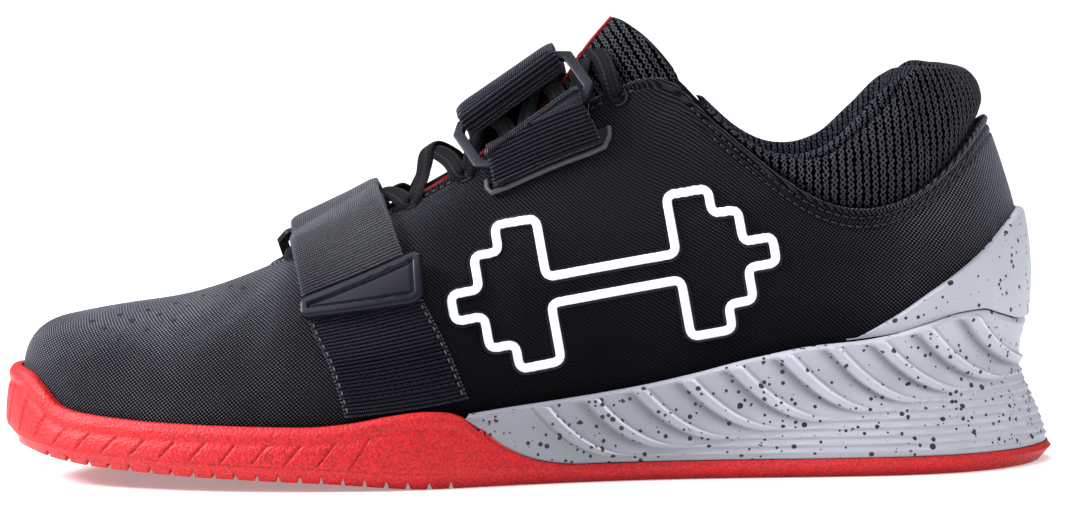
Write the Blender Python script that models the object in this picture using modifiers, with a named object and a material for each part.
"""A low weightlifting shoe for the left foot, built piece by piece as a maker puts it together.

The toe points to -X, the outer (lateral) side of the foot to -Y and up is +Z. The shoe stands on z = 0.
Sizes here are millimetres from a line across the arch; making a mesh turns them into metres and puts
the origin under the middle.
"""

import math
from collections import namedtuple

import bmesh
import bpy
import numpy as np
from mathutils import Vector

MM = 0.001
COLLECTION = "weightlifting_shoe"

# Driving dimensions
CENTRE = (-1.2, 0.0)  # the middle of the sole's length and width, which becomes the origin
GAP = 0.3  # between pieces that touch
UPPER_WALL = 2.0
COUNTER_WALL = 2.0
WEBBING = 1.6
CUP_CLEARANCE = 0.65  # between the upper and the rubber round it
CUP_LIP = 2.6  # rubber thickness at the top of the cup
MIDSOLE_LIP = 3.4
PLATE_TOP = 5.0  # outsole thickness under the heel
SOLE_BEVEL_IN = 3.4
SOLE_BEVEL_UP = 4.4
INSOLE_THICK = 3.5
MIDSOLE_FRONT = -18.0
MIDSOLE_SLAB_FRONT = -5.0  # ahead of this only the two arms of the midsole run on, over the red rubber
RIB_COUNT = 10
RIB_PITCH = 13.8  # along the midsole, between the slanted ribs
STEP_PITCH = 2.2  # up the heel, between the level steps that the ribs turn into
RIB_DEPTH = 1.0
RIB_RUN = 24.0  # length over which a rib comes down to its level
FIRST_RIB_X = -1.0
FIRST_STEP_Z = 6.6
RIM_BAND = 1.3  # the smooth band above the ribs
RING_LENGTH, RING_BAR, RING_THICK = 40.0, 2.9, 1.9
STRAP_LOOP_RADIUS = 3.2  # of the webbing's middle round a ring's bar
TAB_BASE, TAB_THICK = 2.3, 2.6
SLOT_RADIUS = 0.8
LACE_WIDTH, LACE_THICK = 4.8, 1.7
TREAD_PITCH, TREAD_DEPTH, TREAD_WIDTH = 5.85, 2.6, 1.6

# One row for each section of the shoe, from the back of the heel round to the tip of the toe. sole_* is the
# widest line of the sole, foot_* the bottom line of the upper and edge_* its top line: the collar, the
# throat, and then the ridge of the vamp, where both sides meet. _out is the lateral half-width and _in the
# medial one. The last four columns bend the section: how far it bulges out low down, at what share of its
# height, and how far the curve reaches out from its top edge and drops below it.
Station = namedtuple(
    "Station",
    "name sole_x sole_out sole_in foot_x foot_out foot_in edge_x edge_out edge_in edge_z"
    " bulge rise reach drop",
)
STATIONS = [
    Station("heel_back", 144.6, 0, 0, 135.2, 0, 0, 127.4, 0, 0, 96.0, 5.6, 0.40, 7.0, 19.0),
    Station("heel_curve", 139.1, 18.5, 18.5, 130.5, 15.5, 15.5, 124.5, 12.0, 12.0, 93.3, 5.0, 0.40, 6.5, 18.0),
    Station("heel_side", 126.5, 32.5, 32.5, 118.5, 27.0, 27.0, 117.0, 23.5, 23.5, 85.0, 4.5, 0.40, 5.0, 14.0),
    Station("heel_wide", 107.0, 40.0, 40.0, 101.5, 33.5, 33.5, 103.0, 32.0, 32.0, 75.2, 4.0, 0.40, 3.5, 11.0),
    Station("ankle", 84.0, 41.0, 41.0, 82.0, 35.2, 35.0, 84.0, 34.5, 34.5, 74.0, 3.5, 0.40, 3.0, 11.0),
    Station("rear_arch", 60.0, 39.5, 39.0, 58.5, 35.0, 34.0, 62.0, 33.0, 33.0, 88.0, 3.0, 0.40, 4.0, 17.0),
    Station("waist", 36.0, 39.0, 37.0, 35.5, 35.5, 32.5, 46.0, 28.5, 28.5, 102.8, 2.5, 0.40, 6.5, 22.0),
    Station("instep_top", 12.0, 41.5, 36.5, 12.0, 37.8, 32.0, 31.5, 22.0, 21.5, 108.8, 2.5, 0.40, 9.0, 21.0),
    Station("instep", -10.0, 46.5, 38.5, -10.0, 42.0, 34.3, 1.0, 18.0, 17.0, 94.6, 2.5, 0.42, 14.0, 13.0),
    Station("ball_rear", -31.0, 51.3, 43.5, -30.0, 46.3, 38.6, -25.0, 15.5, 14.5, 80.6, 3.0, 0.44, 17.0, 8.0),
    Station("ball", -52.0, 52.0, 49.5, -50.0, 46.8, 44.2, -47.0, 13.0, 12.5, 69.3, 3.5, 0.46, 19.0, 4.5),
    Station("throat", -68.5, 50.5, 52.0, -66.5, 45.2, 46.4, -65.5, 9.5, 9.0, 61.0, 3.5, 0.49, 22.0, 2.0),
    Station("vamp", -77.0, 49.0, 52.0, -75.0, 43.6, 46.3, -73.0, 0, 0, 57.6, 3.5, 0.50, 30.0, 0.3),
    Station("toe_box", -97.0, 43.8, 49.0, -93.5, 38.5, 43.3, -91.0, 0, 0, 51.5, 3.5, 0.52, 28.5, 0.0),
    Station("toe_side", -117.0, 35.0, 41.5, -112.5, 30.3, 36.3, -106.0, 0, 0, 48.8, 4.0, 0.53, 25.0, 0.0),
    Station("toe_curve", -135.4, 22.5, 29.0, -128.6, 18.5, 24.5, -117.5, 0, 0, 47.2, 4.8, 0.53, 21.0, 0.0),
    Station("toe_tip", -147.0, -3.0, 3.0, -139.2, -3.0, 3.0, -123.5, 0, 0, 46.2, 6.0, 0.52, 17.5, 0.0),
]

# Heights along the shoe, as rows of x and z
GROUND = [(-146, 11.6), (-142, 9.6), (-134, 7.7), (-122, 6.1), (-98, 4.3), (-74, 3.0), (-55, 2.0), (-44, 1.1),
          (-34, 0.3), (-27, 0.0), (150, 0.0)]
RED_RIM = [(-146, 32.0), (-142.5, 30.8), (-138.6, 27.2), (-134, 22.3), (-129.5, 21.0), (-118, 19.7),
           (-104, 18.7), (-76, 17.8), (-63, 17.6), (-52, 18.4), (-41, 20.2), (-31, 21.2), (-24, 20.7),
           (-20.8, 19.7), (-14.2, 15.4), (-8.9, 11.3), (-3.5, 8.3), (3.2, 6.1), (12.8, PLATE_TOP),
           (150, PLATE_TOP)]
GREY_RIM = [(-24, 19.8), (-18.2, 20.3), (-8.7, 21.4), (7.7, 23.2), (29.6, 26.2), (46, 29.3), (62, 33.0),
            (80, 36.2), (93, 37.2), (103, 38.6), (113.5, 41.2), (124, 43.6), (130, 44.0), (136, 42.0),
            (141, 40.0)]
FOOTBED = [(-146, 17.0), (-138, 16.4), (-128, 15.0), (-112, 13.4), (-93, 12.2), (-74, 11.6), (-52, 11.4),
           (-31, 12.4), (-10, 15.0), (12, 18.6), (36, 23.6), (59, 28.4), (82, 32.0), (102, 33.4), (140, 33.8)]
OUTSOLE_FLOOR_STEP = [(-11.0, 0.0), (-5.0, 2.0), (2.0, 6.0), (9.0, 10.8), (14.0, 14.0), (40.0, 40.0)]
COUNTER_TOP = [(84, 35.4), (93.2, 40.2), (100.3, 44.4), (107.6, 49.4), (114, 53.6), (120.5, 58.2),
               (126.8, 63.4), (131, 67.0), (135.5, 70.2), (141, 71.0)]

# The tongue, a row for each section up the instep: the middle of its outer face, its half-width, how far
# its wings drop and go back, and its thickness
TongueRow = namedtuple("TongueRow", "x z half_width drop back thick")
TONGUE = [
    TongueRow(-69.0, 55.6, 15.0, 2.2, 0.5, 2.6),
    TongueRow(-52.0, 64.6, 19.0, 3.4, 1.5, 3.4),
    TongueRow(-34.0, 75.0, 22.0, 5.6, 3.0, 4.2),
    TongueRow(-16.0, 86.0, 24.5, 8.6, 4.5, 5.2),
    TongueRow(0.0, 96.6, 24.0, 11.0, 7.0, 6.2),
    TongueRow(10.0, 107.0, 23.5, 12.5, 14.0, 7.0),
    TongueRow(17.0, 117.0, 22.5, 12.5, 19.5, 7.2),
    TongueRow(22.0, 123.6, 21.5, 11.5, 20.5, 6.0),
]

# The padded collar, a row for each section from its front end to the back of the heel: how far round the
# shoe (as the x of the upper's top line), its height above that line, and its thickness
CollarRow = namedtuple("CollarRow", "edge_x height thick")
COLLAR = [
    CollarRow(48.0, 1.6, 7.0),
    CollarRow(56.0, 2.8, 7.2),
    CollarRow(64.0, 5.4, 7.8),
    CollarRow(73.0, 10.0, 8.5),
    CollarRow(82.0, 16.5, 9.0),
    CollarRow(92.0, 26.0, 9.5),
    CollarRow(103.0, 33.5, 10.0),
    CollarRow(112.0, 31.5, 10.5),
    CollarRow(120.0, 24.5, 11.0),
    CollarRow(125.5, 18.8, 11.0),
    CollarRow(127.4, 16.8, 11.0),
]

# The two straps and the loops that hold their rings. up is 0 at the sole on the side where the strap
# starts, 1 to 2 over the throat and 3 at the sole on the other side; the forefoot strap starts on the
# lateral side, the instep strap on the medial one. x_front and x_back are the band's edges; under and over
# are how far off the foot the middle of the webbing lies on its way up and on its way back.
StrapRow = namedtuple("StrapRow", "up x_front x_back under over")
FRONT_RING_UP, FRONT_LOOP_UP, FRONT_LOOP_ROOT = 2.10, 2.33, (2.50, 2.50)
FRONT_STRAP = [
    StrapRow(0.08, -50.0, -16.6, 1.1, 3.1),
    StrapRow(0.29, -54.5, -23.2, 1.1, 3.1),
    StrapRow(0.45, -59.4, -28.8, 1.1, 3.1),
    StrapRow(0.66, -62.2, -34.2, 1.1, 3.1),
    StrapRow(0.85, -63.6, -36.8, 1.5, 3.7),
    StrapRow(1.0, -64.0, -38.0, 3.2, 5.4),
    StrapRow(1.5, -63.6, -39.0, 3.4, 5.7),
    StrapRow(2.0, -62.6, -38.2, 3.2, 8.2),
    StrapRow(2.1, -62.2, -37.6, 2.6, 8.8),
]
FRONT_LOOP = [
    StrapRow(2.33, -61.6, -36.2, 1.7, 8.1),
    StrapRow(2.42, -60.6, -34.8, 1.3, 5.6),
    StrapRow(2.50, -59.6, -33.6, 1.1, 3.1),
]
INSTEP_RING_UP, INSTEP_LOOP_UP, INSTEP_LOOP_ROOT = 1.75, 2.07, (2.21, 2.21)
INSTEP_STRAP = [
    StrapRow(0.08, -2.0, 30.0, 1.1, 3.1),
    StrapRow(0.29, -5.5, 26.0, 1.1, 3.1),
    StrapRow(0.45, -8.5, 22.0, 1.1, 3.1),
    StrapRow(0.66, -11.0, 17.5, 1.1, 3.1),
    StrapRow(0.85, -12.5, 15.0, 1.6, 4.0),
    StrapRow(1.0, -13.2, 14.0, 3.3, 6.2),
    StrapRow(1.5, -13.6, 12.8, 4.2, 9.0),
    StrapRow(1.75, -13.4, 13.0, 4.5, 10.7),
]
INSTEP_LOOP = [
    StrapRow(2.07, -8.2, 17.6, 1.6, 8.0),
    StrapRow(2.14, -8.4, 19.4, 1.3, 5.8),
    StrapRow(2.21, -8.5, 20.7, 1.1, 3.1),
]

# The laces: the x of each pair of eyelets, and the way of a bar and of a crossing from one side (v 1) to
# the other (2)
LACE_ROWS = [-64.5, -48.0, -32.0, -17.0, -2.0, 12.5]
LACE_BAR = [(1.02, 1.15), (1.25, 0.7), (1.5, 0.6), (1.75, 0.7), (1.98, 1.15)]
LACE_CROSS = [(1.02, 1.15), (1.2, 0.7), (1.5, 0.6), (1.8, 0.7), (1.98, 1.15)]

# Colours from the photograph, with roughness and metallic value
Finish = namedtuple("Finish", "colour rough metal")
FINISHES = {
    "upper_textile": Finish((0.035, 0.036, 0.042), 0.75, 0.0),
    "padded_mesh": Finish((0.018, 0.018, 0.021), 0.9, 0.0),
    "webbing": Finish((0.045, 0.046, 0.054), 0.7, 0.0),
    "moulded_black": Finish((0.05, 0.051, 0.065), 0.45, 0.0),
    "red_rubber": Finish((0.62, 0.025, 0.03), 0.55, 0.0),
    "speckled_grey": Finish((0.55, 0.56, 0.60), 0.6, 0.0),
    "lace_cord": Finish((0.04, 0.04, 0.045), 0.8, 0.0),
    "lining": Finish((0.02, 0.02, 0.023), 0.9, 0.0),
}


# Curves through tables


def steady_curve(rows):
    """A function through rows of (x, value) that never overshoots a row: a monotone cubic."""
    x = np.array([row[0] for row in rows], float)
    y = np.array([row[1] for row in rows], float)
    step = np.diff(x)
    slope = np.diff(y) / step
    tangent = np.zeros(len(x))
    tangent[0], tangent[-1] = slope[0], slope[-1]
    for i in range(1, len(x) - 1):
        if slope[i - 1] * slope[i] > 0:
            before, after = 2 * step[i] + step[i - 1], step[i] + 2 * step[i - 1]
            tangent[i] = (before + after) / (before / slope[i - 1] + after / slope[i])

    def value(at):
        i = int(np.clip(np.searchsorted(x, at) - 1, 0, len(x) - 2))
        s = min(max((at - x[i]) / step[i], 0.0), 1.0)
        return (
            (1 + 2 * s) * (1 - s) ** 2 * y[i]
            + s * (1 - s) ** 2 * step[i] * tangent[i]
            + s * s * (3 - 2 * s) * y[i + 1]
            + s * s * (s - 1) * step[i] * tangent[i + 1]
        )

    return value


def closed_curve(knots, values, period):
    """A smooth closed function through values at knots: a periodic cubic spline."""
    n = len(knots)
    t = np.append(knots, knots[0] + period)
    y = np.append(values, values[0])
    step = np.diff(t)
    system, right = np.zeros((n, n)), np.zeros(n)
    for i in range(n):
        before = step[i - 1]
        system[i, i - 1] += before
        system[i, i] += 2 * (before + step[i])
        system[i, (i + 1) % n] += step[i]
        right[i] = 6 * ((y[i + 1] - y[i]) / step[i] - (y[i] - y[i - 1 if i else n - 1]) / before)
    bend = np.linalg.solve(system, right)
    bend = np.append(bend, bend[0])

    def value(at):
        at = (at - t[0]) % period + t[0]
        i = int(np.clip(np.searchsorted(t, at, side="right") - 1, 0, n - 1))
        a, b = (t[i + 1] - at) / step[i], (at - t[i]) / step[i]
        return a * y[i] + b * y[i + 1] + ((a**3 - a) * bend[i] + (b**3 - b) * bend[i + 1]) * step[i] ** 2 / 6

    return value


def smooth_step(x, low, high):
    s = min(max((x - low) / (high - low), 0.0), 1.0)
    return s * s * (3 - 2 * s)


ground_z = steady_curve(GROUND)
red_rim_z = steady_curve(RED_RIM)
grey_rim_z = steady_curve(GREY_RIM)
footbed_z = steady_curve(FOOTBED)
floor_step_z = steady_curve(OUTSOLE_FLOOR_STEP)
counter_top_z = steady_curve(COUNTER_TOP)


# The last: every place on the upper is (round, up). round is 0 at the back of the heel, 1 at the tip of the
# toe along the lateral side and -1 along the medial side; up is 0 at the bottom line and 1 at the top line.


def station_rounds():
    """Where each station lies round the shoe, from the mean distance between stations on both sides."""
    rounds = [0.0]
    for a, b in zip(STATIONS, STATIONS[1:]):
        out = math.dist((a.foot_x, a.foot_out), (b.foot_x, b.foot_out))
        inn = math.dist((a.foot_x, a.foot_in), (b.foot_x, b.foot_in))
        rounds.append(rounds[-1] + (out + inn) / 2)
    return [r / rounds[-1] for r in rounds]


ROUNDS = station_rounds()


def column(name, side_sign=None, steady=False):
    """One column of STATIONS as a function of round. side_sign -1 makes it lateral negative, medial
    positive."""
    lateral = [getattr(s, name) for s in STATIONS]
    medial = lateral
    if side_sign:
        lateral = [-v for v in lateral]
        medial = [getattr(s, name.replace("_out", "_in")) for s in STATIONS]
    if steady:
        curves = steady_curve(list(zip(ROUNDS, lateral))), steady_curve(list(zip(ROUNDS, medial)))
        return lambda g: curves[0](g) if g >= 0 else curves[1](-g)
    knots = [-r for r in ROUNDS[:0:-1]] + ROUNDS[:-1]
    return closed_curve(np.array(knots), np.array(medial[:0:-1] + lateral[:-1]), 2.0)


SOLE_X, SOLE_Y = column("sole_x"), column("sole_out", -1)
FOOT_X, FOOT_Y = column("foot_x"), column("foot_out", -1)
EDGE_X, EDGE_Y, EDGE_Z = column("edge_x"), column("edge_out", -1, steady=True), column("edge_z")
BULGE, RISE, REACH, DROP = column("bulge"), column("rise"), column("reach"), column("drop", steady=True)


def outward(g, x_of, y_of):
    """The level direction that points out of an outline at round g."""
    step = 0.004
    along = Vector((x_of(g + step) - x_of(g - step), y_of(g + step) - y_of(g - step), 0))
    return Vector((-along.y, along.x, 0)).normalized()


def rib_handles(g):
    """The four Bezier points of the upper's section at round g, from the bottom line to the top line."""
    foot_x = FOOT_X(g)
    foot = Vector((foot_x, FOOT_Y(g), footbed_z(foot_x)))
    edge = Vector((EDGE_X(g), EDGE_Y(g), EDGE_Z(g)))
    out = outward(g, FOOT_X, FOOT_Y)
    low = foot + out * BULGE(g) + Vector((0, 0, RISE(g) * (edge.z - foot.z)))
    high = edge + out * REACH(g) - Vector((0, 0, DROP(g)))
    return foot, low, high, edge


def bezier(points, t):
    a, b, c, d = points
    s = 1 - t
    return a * s**3 + b * (3 * s * s * t) + c * (3 * s * t * t) + d * t**3


def wrapped(g):
    return (g + 1) % 2 - 1


def girdle(g, v):
    """A place on the closed arch round the foot at round g: v 0 to 1 up the lateral side, 1 to 2 over the
    throat, 2 to 3 down the medial side."""
    g = abs(g)
    if v <= 1:
        return bezier(rib_handles(g), v)
    if v >= 2:
        return bezier(rib_handles(-g), 3 - v)
    _, _, high_out, edge_out = rib_handles(g)
    _, _, high_in, edge_in = rib_handles(-g)
    reach = 0.4 * (edge_out - edge_in).length
    lift_out = (edge_out - high_out).normalized() * reach
    lift_in = (edge_in - high_in).normalized() * reach
    return bezier((edge_out, edge_out + lift_out, edge_in + lift_in, edge_in), v - 1)


def girdle_normal(g, v):
    step = 0.006
    v = min(max(v, step), 3 - step)
    along = girdle(g + step, v) - girdle(g - step, v)
    across = girdle(g, v + step) - girdle(g, v - step)
    return across.cross(along).normalized()


def round_at(x, v):
    """The round, between the heel and the toe, where the arch has this x at v."""
    low, high = 0.02, 0.995
    for _ in range(26):
        middle = (low + high) / 2
        if girdle(middle, v).x > x:
            low = middle
        else:
            high = middle
    return (low + high) / 2


def arch_point(x, v, lift):
    """A place at this x and v, lifted off the arch."""
    g = round_at(x, v)
    return girdle(g, v) + girdle_normal(g, v) * lift


# Making meshes


def material(name):
    found = bpy.data.materials.get(name)
    if found:
        return found
    finish = FINISHES[name]
    made = bpy.data.materials.new(name)
    made.use_nodes = True
    made.diffuse_color = (*finish.colour, 1)
    shader = made.node_tree.nodes["Principled BSDF"]
    shader.inputs["Base Color"].default_value = (*finish.colour, 1)
    shader.inputs["Roughness"].default_value = finish.rough
    shader.inputs["Metallic"].default_value = finish.metal
    return made


def new_object(name, points, faces, finish, closed=True):
    """A mesh object from points in millimetres. Points that coincide become one, and a closed mesh faces
    out."""
    mesh = bpy.data.meshes.new(name)
    centre = Vector((*CENTRE, 0))
    mesh.from_pydata([tuple((Vector(p) - centre) * MM) for p in points], [], faces)
    work = bmesh.new()
    work.from_mesh(mesh)
    bmesh.ops.remove_doubles(work, verts=work.verts, dist=2e-6)
    if closed:
        bmesh.ops.recalc_face_normals(work, faces=work.faces)
        if work.calc_volume(signed=True) < 0:
            bmesh.ops.reverse_faces(work, faces=work.faces)
    work.to_mesh(mesh)
    work.free()
    mesh.shade_smooth()
    mesh.set_sharp_from_angle(angle=math.radians(40))
    mesh.materials.append(material(finish))
    made = bpy.data.objects.new(name, mesh)
    bpy.data.collections[COLLECTION].objects.link(made)
    return made


def grid_faces(rows, columns, closed_rows=False, closed_columns=False, first=0):
    """Quads of a grid whose points are listed row by row."""
    faces = []
    for i in range(rows if closed_rows else rows - 1):
        for j in range(columns if closed_columns else columns - 1):
            a, b = i * columns, (i + 1) % rows * columns
            k = (j + 1) % columns
            faces.append([first + a + j, first + a + k, first + b + k, first + b + j])
    return faces


def shell(name, rows, thickness, finish, side, closed_rows=False):
    """A solid of even thickness on a grid of points. side 1 grows along the faces' normals, -1 against, 0
    both."""
    points = [p for row in rows for p in row]
    faces = grid_faces(len(rows), len(rows[0]), closed_rows)
    made = new_object(name, points, faces, finish, closed=False)
    wall = made.modifiers.new("wall", "SOLIDIFY")
    wall.thickness = thickness * MM
    wall.offset = side
    wall.use_even_offset = True
    return made


def loft(name, sections, finish):
    """A solid through closed sections that have the same number of points."""
    count = len(sections[0])
    points = [p for section in sections for p in section]
    faces = grid_faces(len(sections), count, closed_columns=True)
    last = (len(sections) - 1) * count
    faces += [list(range(count)), list(range(last, last + count))]
    return new_object(name, points, faces, finish)


def slab(name, tops, bottoms, finish):
    """A solid between two grids of points with the same rows and columns."""
    rows, columns = len(tops), len(tops[0])
    points = [p for row in tops for p in row] + [p for row in bottoms for p in row]
    under = rows * columns
    faces = grid_faces(rows, columns) + grid_faces(rows, columns, first=under)
    rim = [(0, j) for j in range(columns)] + [(i, columns - 1) for i in range(1, rows)]
    rim += [(rows - 1, j) for j in range(columns - 2, -1, -1)] + [(i, 0) for i in range(rows - 2, 0, -1)]
    for (a, b), (c, d) in zip(rim, rim[1:] + rim[:1]):
        p, q = a * columns + b, c * columns + d
        faces.append([p, q, under + q, under + p])
    return new_object(name, points, faces, finish)


def applied(made):
    """The object with its modifiers made real, so that it can be joined or cut."""
    graph = bpy.context.evaluated_depsgraph_get()
    mesh = bpy.data.meshes.new_from_object(made.evaluated_get(graph))
    name = made.name
    bpy.data.objects.remove(made)
    mesh.name = name
    result = bpy.data.objects.new(name, mesh)
    bpy.data.collections[COLLECTION].objects.link(result)
    return result


def boolean(made, other, operation):
    change = made.modifiers.new(operation.lower(), "BOOLEAN")
    change.operation = operation
    change.object = other
    return applied(made)


def spread(first, last, count):
    return [first + (last - first) * i / (count - 1) for i in range(count)]


# Pieces of the sole


def sole_point(g, inset, z):
    out = outward(g, SOLE_X, SOLE_Y)
    at = Vector((SOLE_X(g), SOLE_Y(g), 0)) - out * inset
    return Vector((at.x, at.y, z))


def upper_at_height(g, z, lift):
    """The upper's outer face at round g and height z, pushed out level. Below its bottom line, the bottom
    line."""
    handles = rib_handles(g)
    low, high = 0.0, 0.7
    for _ in range(18):
        middle = (low + high) / 2
        if bezier(handles, middle).z < z:
            low = middle
        else:
            high = middle
    at = bezier(handles, low)
    at = at + outward(g, FOOT_X, FOOT_Y) * lift
    return Vector((at.x, at.y, z))


def outsole_floor_z(x):
    """The inside of the rubber cup: under the footbed in front, and stepping down behind the ball to the
    plate."""
    return max(footbed_z(x) - GAP - floor_step_z(x), PLATE_TOP)


def cup_depth(g):
    x = SOLE_X(g)
    return smooth_step(red_rim_z(x) - outsole_floor_z(x), 0.2, 4.0)


def outsole_section(g):
    """The rubber's side at round g, from its bottom edge up over the lip and down inside to the floor."""
    x = SOLE_X(g)
    rim, ground = red_rim_z(x), ground_z(x)
    floor_z = outsole_floor_z(FOOT_X(g))
    cup = cup_depth(g)
    bevel_up = min(SOLE_BEVEL_UP, 0.72 * (rim - ground))
    bottom = sole_point(g, SOLE_BEVEL_IN, ground)
    crease = sole_point(g, 0, ground + bevel_up)
    lip_out = upper_at_height(g, rim - 1.0, CUP_CLEARANCE + CUP_LIP)
    lip_top = upper_at_height(g, rim, CUP_CLEARANCE + CUP_LIP * 0.62)
    lip_in = upper_at_height(g, rim - 0.2, CUP_CLEARANCE)
    middle = upper_at_height(g, (rim + floor_z) / 2, CUP_CLEARANCE)
    floor = upper_at_height(g, floor_z, CUP_CLEARANCE)
    flat_out = sole_point(g, 0.9, rim)
    flat_top = sole_point(g, 2.2, rim)
    flat_in = upper_at_height(g, min(rim, floor_z), CUP_CLEARANCE)
    flat_floor = sole_point(g, 6.0, floor_z)
    wall = crease.lerp(lip_out, 0.5) + outward(g, SOLE_X, SOLE_Y) * 0.5
    return [
        bottom,
        crease,
        flat_out.lerp(wall, cup),
        flat_out.lerp(lip_out, cup),
        flat_top.lerp(lip_top, cup),
        flat_in.lerp(lip_in, cup),
        flat_in.lerp(middle, cup),
        flat_floor.lerp(floor, cup),
    ]


def ring_solid(name, sections, floor_z_of, bottom_z_of, finish, columns):
    """A solid from side sections all round the shoe, closed by a floor and a bottom that run from side to
    side."""
    count, size = len(sections), len(sections[0])
    points = [p for section in sections for p in section]
    faces = grid_faces(count, size, closed_rows=True)
    half = count // 2

    def span(level, z_of):
        rows = []
        for i in range(1, half):
            lateral, medial = i * size + level, (count - i) * size + level
            row = [lateral]
            for k in range(1, columns):
                p = Vector(points[lateral]).lerp(Vector(points[medial]), k / columns)
                points.append(Vector((p.x, p.y, z_of(p.x))))
                row.append(len(points) - 1)
            rows.append(row + [medial])
        heel, toe = level, half * size + level
        for a, b in zip(rows, rows[1:]):
            faces.extend([a[k], a[k + 1], b[k + 1], b[k]] for k in range(columns))
        faces.extend([heel, rows[0][k], rows[0][k + 1]] for k in range(columns))
        faces.extend([toe, rows[-1][k], rows[-1][k + 1]] for k in range(columns))

    span(size - 1, floor_z_of)
    span(0, bottom_z_of)
    return new_object(name, points, faces, finish)


def rounds_evenly(count):
    """Rounds for a loop of count sections, a little closer together at the toe and the heel."""
    rounds = []
    for i in range(count):
        s = 2 * i / count
        s = s if s <= 1 else s - 2
        rounds.append(s - 0.045 * math.sin(2 * math.pi * s))
    return rounds


def tread_cutter():
    """Wedges across the forefoot that cut the grooves between the lugs, as one mesh."""
    points, faces = [], []
    for k in range(20):
        x = -133.5 + TREAD_PITCH * k
        bottom = ground_z(x)
        depth = TREAD_DEPTH
        half = TREAD_WIDTH / 2
        shape = [(x - half, bottom - 4.0), (x + half, bottom - 4.0), (x + half, bottom - 0.2),
                 (x + 0.35, bottom + depth), (x - 0.35, bottom + depth), (x - half, bottom - 0.2)]
        first = len(points)
        points += [(px, -70.0, pz) for px, pz in shape] + [(px, 70.0, pz) for px, pz in shape]
        n = len(shape)
        faces += [[first + i, first + (i + 1) % n, first + n + (i + 1) % n, first + n + i] for i in range(n)]
        faces += [[first + i for i in range(n)], [first + n + i for i in range(n)]]
    made = new_object("tread_cutter", points, faces, "red_rubber")
    made.hide_render = True
    made.display_type = "WIRE"
    bpy.data.collections[COLLECTION].objects.unlink(made)
    bpy.data.collections["cutters"].objects.link(made)
    return made


def outsole_rounds():
    """Rounds of the outsole's sections: the midsole's own where the rubber steps down behind the ball,
    fewer behind."""
    rear = [g for g in midsole_rounds() if g >= 0]
    kept = [g for i, g in enumerate(rear) if i % 3 == 0 or SOLE_X(g) < 28]
    side = kept + spread(kept[-1], 1.0, 17)[1:]
    return side + [-g for g in side[-2:0:-1]]


def make_outsole():
    sections = [outsole_section(g) for g in outsole_rounds()]
    made = ring_solid("outsole", sections, outsole_floor_z, ground_z, "red_rubber", 4)
    cut = made.modifiers.new("tread", "BOOLEAN")
    cut.operation = "DIFFERENCE"
    cut.object = tread_cutter()


def rib_line_z(k, x):
    """The height at x of rib number k: down from the rim in an arc, then level to the back of the heel."""
    start = FIRST_RIB_X + RIB_PITCH * k
    level = FIRST_STEP_Z + STEP_PITCH * k
    rest = max(1 - (x - start) / RIB_RUN, 0.0)
    return level + (grey_rim_z(start) - RIM_BAND - level) * min(rest, 1.0) ** 2


def midsole_side(g, z, relief):
    """The midsole's outer side at round g and height z: a flared wall, waisted at the heel, and its
    relief."""
    x = SOLE_X(g)
    low, high = red_rim_z(x - 0.7) + GAP, grey_rim_z(x)
    foot = sole_point(g, 1.0, low)
    top = upper_at_height(g, high, CUP_CLEARANCE + MIDSOLE_LIP)
    share = min(max((z - low) / max(high - low, 0.1), 0.0), 1.0)
    waist = (0.6 + 3.3 * smooth_step(x, 30, 135)) * math.sin(math.pi * min(share / 0.88, 1.0)) ** 1.5
    at = foot.lerp(top, share) + outward(g, SOLE_X, SOLE_Y) * (relief - waist)
    return Vector((at.x, at.y, z))


def midsole_section(g):
    """The midsole's section at round g, from its inner bottom edge out, up its side, over the lip and down
    inside. Each rib gives a valley and a crest; the ribs that start further back lie folded up in the
    rim's edge."""
    x = SOLE_X(g)
    low, high = red_rim_z(x - 0.7) + GAP, grey_rim_z(x)
    under = outsole_section(g)
    inward = -outward(g, SOLE_X, SOLE_Y)
    floor_z = max(footbed_z(FOOT_X(g)) - GAP, low + 0.3)
    ledge = upper_at_height(g, low, CUP_CLEARANCE)
    bottom = ledge
    if x > MIDSOLE_SLAB_FRONT - 1:
        ledge = under[5] - inward * 0.5
        ledge.z = low
        bottom = under[7] - inward * 0.5
        bottom.z = midsole_bottom_z(FOOT_X(g))
    rim_edge = midsole_side(g, high - RIM_BAND, RIB_DEPTH * 0.7)
    rows = [bottom, ledge, midsole_side(g, low, 0.0)]
    for k in range(RIB_COUNT):
        for part, relief in ((0.0, 0.0), (0.42, RIB_DEPTH)):
            z = max(rib_line_z(k + part, x), low)
            started = x > FIRST_RIB_X + RIB_PITCH * (k + part) + 0.1
            if started and z < high - RIM_BAND - 0.25:
                rows.append(midsole_side(g, z, relief if z > low else 0.0))
            else:
                rows.append(rim_edge)
    rows.append(rim_edge)
    rows.append(upper_at_height(g, high, CUP_CLEARANCE + MIDSOLE_LIP * 0.66))
    rows.append(upper_at_height(g, high - 0.2, CUP_CLEARANCE))
    rows.append(upper_at_height(g, (high + floor_z) / 2, CUP_CLEARANCE))
    rows.append(upper_at_height(g, floor_z, CUP_CLEARANCE))
    return rows


def midsole_floor_z(x):
    return footbed_z(x) - GAP


def midsole_bottom_z(x):
    """Over the outsole's floor, with room for its steep step."""
    return outsole_floor_z(x - 2.5) + GAP


def midsole_rounds():
    """Rounds of the midsole's sections: four to a rib along the sides, then closer round the heel."""
    sides = [round_at_sole(x) for x in (MIDSOLE_FRONT, -14.0, -9.5, MIDSOLE_SLAB_FRONT)]
    x = FIRST_RIB_X
    while x < 121:
        sides.append(round_at_sole(x))
        x += RIB_PITCH / 3
    heel = spread(sides[-1], 0.0, 7)[1:]
    half = sides + heel
    return [-g for g in half[:-1]] + half[::-1]


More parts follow.
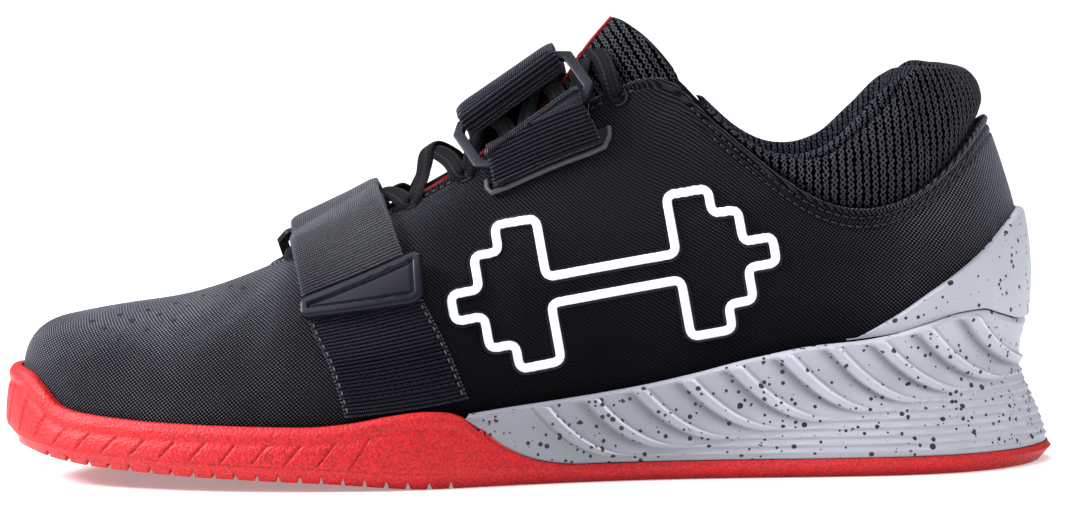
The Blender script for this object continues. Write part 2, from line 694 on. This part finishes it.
def make_midsole(name="midsole", columns=4):
    rounds = midsole_rounds()
    sections = [midsole_section(g) for g in rounds]
    sections_count = len(sections)
    size = len(sections[0])
    points = [p for section in sections for p in section]
    faces = grid_faces(len(sections), size)
    heel = sections_count // 2
    arms = 3  # sections at each front end that lie ahead of the slab

    def span(level, z_of):
        rows = []
        for i in range(arms, heel):
            medial, lateral = i * size + level, (sections_count - 1 - i) * size + level
            row = [medial]
            for k in range(1, columns):
                p = Vector(points[medial]).lerp(Vector(points[lateral]), k / columns)
                points.append(Vector((p.x, p.y, z_of(p.x))))
                row.append(len(points) - 1)
            rows.append(row + [lateral])
        for a, b in zip(rows, rows[1:]):
            faces.extend([a[k], a[k + 1], b[k + 1], b[k]] for k in range(columns))
        back = heel * size + level
        faces.extend([back, rows[-1][k], rows[-1][k + 1]] for k in range(columns))
        return rows[0]

    floor = span(size - 1, midsole_floor_z)
    bottom = span(0, midsole_bottom_z)
    faces.extend([floor[k], floor[k + 1], bottom[k + 1], bottom[k]] for k in range(columns))
    for i in list(range(arms)) + list(range(sections_count - 1 - arms, sections_count - 1)):
        a, b = i * size, (i + 1) * size
        faces.append([a, b, b + size - 1, a + size - 1])
    faces.append(list(range(1, size)))
    faces.append(list(range((sections_count - 1) * size + 1, sections_count * size)))
    return new_object(name, points, faces, "speckled_grey")


def round_at_sole(x):
    low, high = 0.02, 0.98
    for _ in range(26):
        middle = (low + high) / 2
        if SOLE_X(middle) > x:
            low = middle
        else:
            high = middle
    return (low + high) / 2


def make_heel_counter():
    """The smooth moulded cup round the heel, from the midsole's rim up to its slanted top edge."""
    rows = []
    front = round_at_sole(86.5)
    for g in spread(-front, front, 27):
        handles = rib_handles(g)
        low = grey_rim_z(SOLE_X(g)) + GAP + 0.25
        high = max(counter_top_z(FOOT_X(g)), low + 0.6)
        row = []
        for z in spread(low, high, 4):
            row.append(upper_skin(handles, g, z, GAP + 0.1))
        rows.append(row)
    shell("heel_counter", rows, COUNTER_WALL, "speckled_grey", 1)


def upper_skin(handles, g, z, lift):
    """A place on the upper's outer face at height z, lifted along the face's own normal."""
    low, high = 0.0, 1.0
    for _ in range(20):
        v = (low + high) / 2
        if bezier(handles, v).z < z:
            low = v
        else:
            high = v
    at = v if g >= 0 else 3 - v
    return bezier(handles, v) + safe_normal(g, at) * lift


def safe_normal(g, at):
    """The arch's normal, also across the middle of the heel, where the two sides meet."""
    step = 0.006
    v = at if g >= 0 else 3 - at
    v = min(max(v, step), 1 - step)
    along = bezier(rib_handles(wrapped(g + step)), v) - bezier(rib_handles(wrapped(g - step)), v)
    up = bezier(rib_handles(g), v + step) - bezier(rib_handles(g), v - step)
    return up.cross(along).normalized()


# Pieces inside


def make_insole():
    """The loose footbed: a sheet that follows the cup's floor, with its edge turned up a little."""
    inset = UPPER_WALL + 0.7
    rows_low, rows_high = [], []
    for g in [0.012] + spread(0.05, 0.95, 15) + [0.988]:
        lateral = level_inset(g, inset)
        medial = level_inset(-g, inset)
        low, high = [], []
        for k in range(7):
            s = k / 6
            p = lateral.lerp(medial, s)
            z = footbed_z(p.x) + 0.05
            edge = abs(2 * s - 1) ** 4
            low.append(Vector((p.x, p.y, z)))
            high.append(Vector((p.x, p.y, z + INSOLE_THICK * (1 - 0.25 * edge) + 1.2 * edge)))
        rows_low.append(low)
        rows_high.append(high)
    slab("insole", rows_high, rows_low, "lining")


def level_inset(g, inset):
    out = outward(g, FOOT_X, FOOT_Y)
    return Vector((FOOT_X(g), FOOT_Y(g), 0)) - out * inset


def tongue_curves():
    """The tongue's columns as functions of its x."""
    return {
        name: steady_curve([(row.x, getattr(row, name)) for row in TONGUE])
        for name in ("z", "half_width", "drop", "back", "thick")
    }


def tongue_point(curves, x, share, inward):
    """A place on the tongue at x, from -1 at its lateral edge to 1 at its medial edge, inward below its
    face."""
    at = {name: curve(x) for name, curve in curves.items()}
    slope = (curves["z"](x + 0.5) - curves["z"](x - 0.5)) if TONGUE[0].x < x < TONGUE[-1].x else 1.0
    down = Vector((slope, 0, -1)).normalized()
    bend = share * share
    y = at["half_width"] * share * (1 - 0.12 * bend)
    p = Vector((x + at["back"] * bend, y, at["z"] - at["drop"] * bend))
    side = Vector((0, -share * 0.75, 0))
    direction = (down + side * (at["drop"] / 12.0)).normalized()
    edge_taper = 1 - 0.75 * abs(share) ** 5
    return p + direction * (inward * at["thick"] * edge_taper)


def make_tongue():
    curves = tongue_curves()
    outer, inner = [], []
    for x in spread(TONGUE[0].x, TONGUE[-1].x, 13):
        shares = spread(-1, 1, 9)
        outer.append([tongue_point(curves, x, s, 0) for s in shares])
        inner.append([tongue_point(curves, x, s, 1) for s in shares])
    slab("tongue", outer, inner, "padded_mesh")


def make_collar():
    """The padded mesh collar: it comes out of the top of the quarters and rolls over to the inside."""
    height = steady_curve([(row.edge_x, row.height) for row in COLLAR])
    thick = steady_curve([(row.edge_x, row.thick) for row in COLLAR])
    start = edge_round(COLLAR[0].edge_x)
    sections = []
    for g in spread(-start, start, 29):
        x = EDGE_X(g)
        h, t = height(x), thick(x)
        edge = Vector((x, EDGE_Y(g), EDGE_Z(g)))
        out = outward(g, EDGE_X, EDGE_Y)
        wall = UPPER_WALL + 0.55
        tuck = min(9.0, 4.0 + h * 0.5)
        lean = 0.10 * h
        profile = [
            (-wall, -tuck),
            (-wall, -1.2),
            (-wall + 0.9, 0.9 if h > 3 else 0.5),
            (-0.3 - 0.04 * h, max(0.30 * h, 0.9)),
            (-0.5 - 0.05 * h, 0.62 * h + 0.3),
            (-2.0 - lean, 0.90 * h + 0.2),
            (-4.2 - lean, h + 0.2),
            (-t * 0.75 - lean * 1.2, 0.88 * h),
            (-t - lean, 0.60 * h - 0.8),
            (-t - wall * 0.6, 0.15 * h - 2.2),
            (-t * 0.75 - wall, -tuck * 0.9 - 1.0),
            (-wall - 1.0, -tuck - 1.0),
        ]
        sections.append([edge + out * across + Vector((0, 0, up)) for across, up in profile])
    loft("collar", sections, "padded_mesh")


def edge_round(x):
    """The round where the upper's top line has this x, on the collar."""
    low, high = 0.0, 0.6
    for _ in range(26):
        middle = (low + high) / 2
        if EDGE_X(middle) > x:
            low = middle
        else:
            high = middle
    return (low + high) / 2


def make_upper():
    """The hollow shell: vamp, toe box and quarters as one wall, open below, at the throat and at the
    collar."""
    count, levels = 70, 7
    rows = []
    for g in rounds_evenly(count):
        handles = rib_handles(g)
        rows.append([bezier(handles, v) for v in spread(0, 1, levels)])
    shell("upper", rows, UPPER_WALL, "upper_textile", -1, closed_rows=True)


# Straps, rings and laces


def curve_of(table, name):
    return steady_curve([(row.up, getattr(row, name)) for row in table])


def strap_place(far, x, up, lift):
    """A place on the arch for a strap that starts on the lateral side, or on the medial one where far is
    True."""
    return arch_point(x, 3 - up if far else up, lift)


def folded_webbing(name, table, root, fold, end, bar, far=False):
    """Webbing that runs from its root up to a ring's bar, turns round it and comes back on top of itself
    to its end. root and end are each the up of the front and of the back edge; fold is the bar's."""
    rise, ahead = bar.rise, bar.ahead
    front, back = curve_of(table, "x_front"), curve_of(table, "x_back")
    under, over = curve_of(table, "under"), curve_of(table, "over")
    up_rows, back_rows = max(3, round(abs(fold - root[0]) / 0.13)), max(3, round(abs(fold - end[0]) / 0.13))
    columns = []
    for c in spread(0, 1, 4):
        column_points = []
        start, stop = root[0] + (root[1] - root[0]) * c, end[0] + (end[1] - end[0]) * c
        for up in spread(start, fold, up_rows)[:-1]:
            column_points.append(strap_place(far, front(up) + (back(up) - front(up)) * c, up, under(up)))
        centre = bar.front.lerp(bar.back, c)
        for angle in (0, 30, 60, 90, 120, 150, 180):
            turn = math.radians(angle)
            spoke = ahead * math.sin(turn) - rise * math.cos(turn)
            column_points.append(centre + spoke * STRAP_LOOP_RADIUS)
        for up in spread(fold, stop, back_rows)[1:]:
            column_points.append(strap_place(far, front(up) + (back(up) - front(up)) * c, up, over(up)))
        columns.append(column_points)
    rows = [list(row) for row in zip(*columns)]
    shell(name, rows, WEBBING, "webbing", 0)


Bar = namedtuple("Bar", "front back rise ahead")
RingFrame = namedtuple("RingFrame", "centre length up face half_height")


def ring_frame(loop, loop_up, strap, strap_up, far):
    """Where a flat ring lies, from the middle lines of its two bars: the loop's and the strap's."""
    (a, b), (c, d) = bar_ends(loop, loop_up, far), bar_ends(strap, strap_up, far)
    low, high = (a + b) / 2, (c + d) / 2
    across = high - low
    length = ((b - a).normalized() + (d - c).normalized()).normalized()
    length = (length - across * length.dot(across) / across.length_squared).normalized()
    face = length.cross(across).normalized()
    if face.z < 0:
        face = -face
    return RingFrame((low + high) / 2, length, across.normalized(), face, (across.length + RING_BAR) / 2)


def ring_bar(frame, table, up, low):
    """The line that a webbing folds round, as wide as the webbing there."""
    row_width = curve_of(table, "x_back")(up) - curve_of(table, "x_front")(up)
    half = frame.length * min(row_width / 2 / abs(frame.length.x), RING_LENGTH / 2 - RING_BAR - 0.6)
    side = -1 if low else 1
    middle = frame.centre + frame.up * (side * (frame.half_height - RING_BAR / 2))
    return Bar(middle - half, middle + half, frame.face, frame.up * -side)


def make_ring(name, frame):
    """A flat rectangular ring with cut corners."""
    centre, length, up, face, half_h = frame
    half_l = RING_LENGTH / 2

    def outline(inset, corner):
        a, b = half_l - inset, half_h - inset
        return [(a - corner, b), (a, b - corner), (a, -b + corner), (a - corner, -b),
                (-a + corner, -b), (-a, -b + corner), (-a, b - corner), (-a + corner, b)]

    outer, inner = outline(0, 3.2), outline(RING_BAR, 1.2)
    points = []
    for shape, depth in ((outer, 1), (inner, 1), (inner, -1), (outer, -1)):
        points += [centre + length * u + up * v + face * (depth * RING_THICK / 2) for u, v in shape]
    n = len(outer)
    faces = grid_faces(4, n, closed_rows=True, closed_columns=True)
    new_object(name, points, faces, "moulded_black")


def bar_ends(table, up, far):
    front, back = curve_of(table, "x_front")(up), curve_of(table, "x_back")(up)
    lift = (curve_of(table, "under")(up) + curve_of(table, "over")(up)) / 2
    return strap_place(far, front, up, lift), strap_place(far, back, up, lift)


def make_tab(name, front, back, far):
    """The moulded end of a strap: a flat wedge with a raised rim. front and back give each end's x, low
    and high edge; the ends are rounded by drawing the corners in."""
    tops, bottoms = [], []
    for c, squeeze in ((0, 0.55), (0.05, 0.9), (0.12, 1), (0.5, 1), (0.88, 1), (0.95, 0.9), (1, 0.6)):
        x = front[0] + (back[0] - front[0]) * c
        low, high = (front[i] + (back[i] - front[i]) * c for i in (1, 2))
        middle = (low + high) / 2
        top_row, bottom_row = [], []
        for r in (-1, -0.72, 0, 0.72, 1):
            up = middle + (high - low) / 2 * r * squeeze
            panel = abs(r) < 0.8 and 0.1 < c < 0.9
            rim = abs(r) == 1 or c in (0, 1)
            lift = TAB_BASE + TAB_THICK - (0.7 if panel else 0.0) - (0.5 if rim else 0.0)
            top_row.append(strap_place(far, x, up, lift))
            bottom_row.append(strap_place(far, x, up, TAB_BASE))
        tops.append(top_row)
        bottoms.append(bottom_row)
    slab(name, tops, bottoms, "moulded_black")


def tube(name, path, radius, finish, sides=6):
    """A closed round bar along a path of points."""
    sections = []
    for i, p in enumerate(path):
        along = (path[min(i + 1, len(path) - 1)] - path[max(i - 1, 0)]).normalized()
        first = along.orthogonal() if i == 0 else first - along * first.dot(along)
        first.normalize()
        second = along.cross(first)
        section = []
        for k in range(sides):
            turn = 2 * math.pi * k / sides
            section.append(p + (first * math.cos(turn) + second * math.sin(turn)) * radius)
        sections.append(section)
    return loft(name, sections, finish)


def make_slot_frame(name, table, up, far):
    """The moulded line round the slot that a ring's loop comes out of."""
    front, back = curve_of(table, "x_front")(up), curve_of(table, "x_back")(up)
    lift = GAP + SLOT_RADIUS
    places = [(front - 2.2, up - 0.055), (front - 2.2, up - 0.015), (front - 1.0, up + 0.018)]
    places += [(front + (back - front) * c, up + 0.024) for c in (0.1, 0.3, 0.5, 0.7, 0.9)]
    places += [(back + 1.0, up + 0.018), (back + 2.2, up - 0.015), (back + 2.2, up - 0.055)]
    path = [strap_place(far, x, u, lift) for x, u in places]
    tube(name, path, SLOT_RADIUS, "moulded_black")


def lace_strip(name, places):
    """A flat piece of lace over places of x, v and lift."""
    path = [arch_point(*place) for place in places]
    sections = []
    for i, p in enumerate(path):
        x, v, _ = places[i]
        along = (path[min(i + 1, len(path) - 1)] - path[max(i - 1, 0)]).normalized()
        up = girdle_normal(round_at(x, v), v)
        side = along.cross(up).normalized() * (LACE_WIDTH / 2)
        up = side.cross(along).normalized() * (LACE_THICK / 2)
        sections.append([p + side * 0.8 + up, p - side * 0.8 + up, p - side - up * 0.6, p + side - up * 0.6])
    return loft(name, sections, "lace_cord")


def make_laces():
    """The first bar and the crossings above it, joined. Each piece lies over the eyestays with its ends."""
    bar = [(LACE_ROWS[0], v, lift) for v, lift in LACE_BAR]
    laces = lace_strip("laces", bar)
    for a, b in zip(LACE_ROWS, LACE_ROWS[1:]):
        for flip in (False, True):
            places = []
            for v, lift in LACE_CROSS:
                share = (v - LACE_CROSS[0][0]) / (LACE_CROSS[-1][0] - LACE_CROSS[0][0])
                places.append((a + (b - a) * share, 3 - v if flip else v, lift))
            piece = lace_strip("piece", places)
            laces = boolean(laces, piece, "UNION")
            bpy.data.objects.remove(piece)


def make_straps():
    ring = ring_frame(FRONT_LOOP, FRONT_LOOP_UP, FRONT_STRAP, FRONT_RING_UP, False)
    low_bar = ring_bar(ring, FRONT_LOOP, FRONT_LOOP_UP, True)
    high_bar = ring_bar(ring, FRONT_STRAP, FRONT_RING_UP, False)
    make_ring("front_ring", ring)
    folded_webbing("front_strap", FRONT_STRAP, (0.11, 0.11), FRONT_RING_UP, (0.575, 0.63), high_bar)
    folded_webbing("front_ring_loop", FRONT_LOOP, FRONT_LOOP_ROOT, FRONT_LOOP_UP, FRONT_LOOP_ROOT, low_bar)
    make_tab("front_strap_tab", (-61.8, 0.482, 0.562), (-28.6, 0.435, 0.63), False)
    make_slot_frame("front_slot_frame", FRONT_LOOP, FRONT_LOOP_ROOT[0], False)

    ring = ring_frame(INSTEP_LOOP, INSTEP_LOOP_UP, INSTEP_STRAP, INSTEP_RING_UP, True)
    low_bar = ring_bar(ring, INSTEP_LOOP, INSTEP_LOOP_UP, True)
    high_bar = ring_bar(ring, INSTEP_STRAP, INSTEP_RING_UP, False)
    make_ring("instep_ring", ring)
    folded_webbing("instep_strap", INSTEP_STRAP, (0.10, 0.08), INSTEP_RING_UP, (0.575, 0.63), high_bar, True)
    root = INSTEP_LOOP_ROOT
    folded_webbing("instep_ring_loop", INSTEP_LOOP, root, INSTEP_LOOP_UP, root, low_bar, True)
    make_tab("instep_strap_tab", (-11.5, 0.482, 0.562), (24.0, 0.435, 0.63), True)
    make_slot_frame("instep_slot_frame", INSTEP_LOOP, INSTEP_LOOP_ROOT[0], True)


def build():
    for made in list(bpy.data.objects):
        bpy.data.objects.remove(made)
    for name in (COLLECTION, "cutters"):
        bpy.context.scene.collection.children.link(bpy.data.collections.new(name))
    make_outsole()
    make_midsole()
    make_heel_counter()
    make_insole()
    make_upper()
    make_tongue()
    make_collar()
    make_straps()
    make_laces()


build()
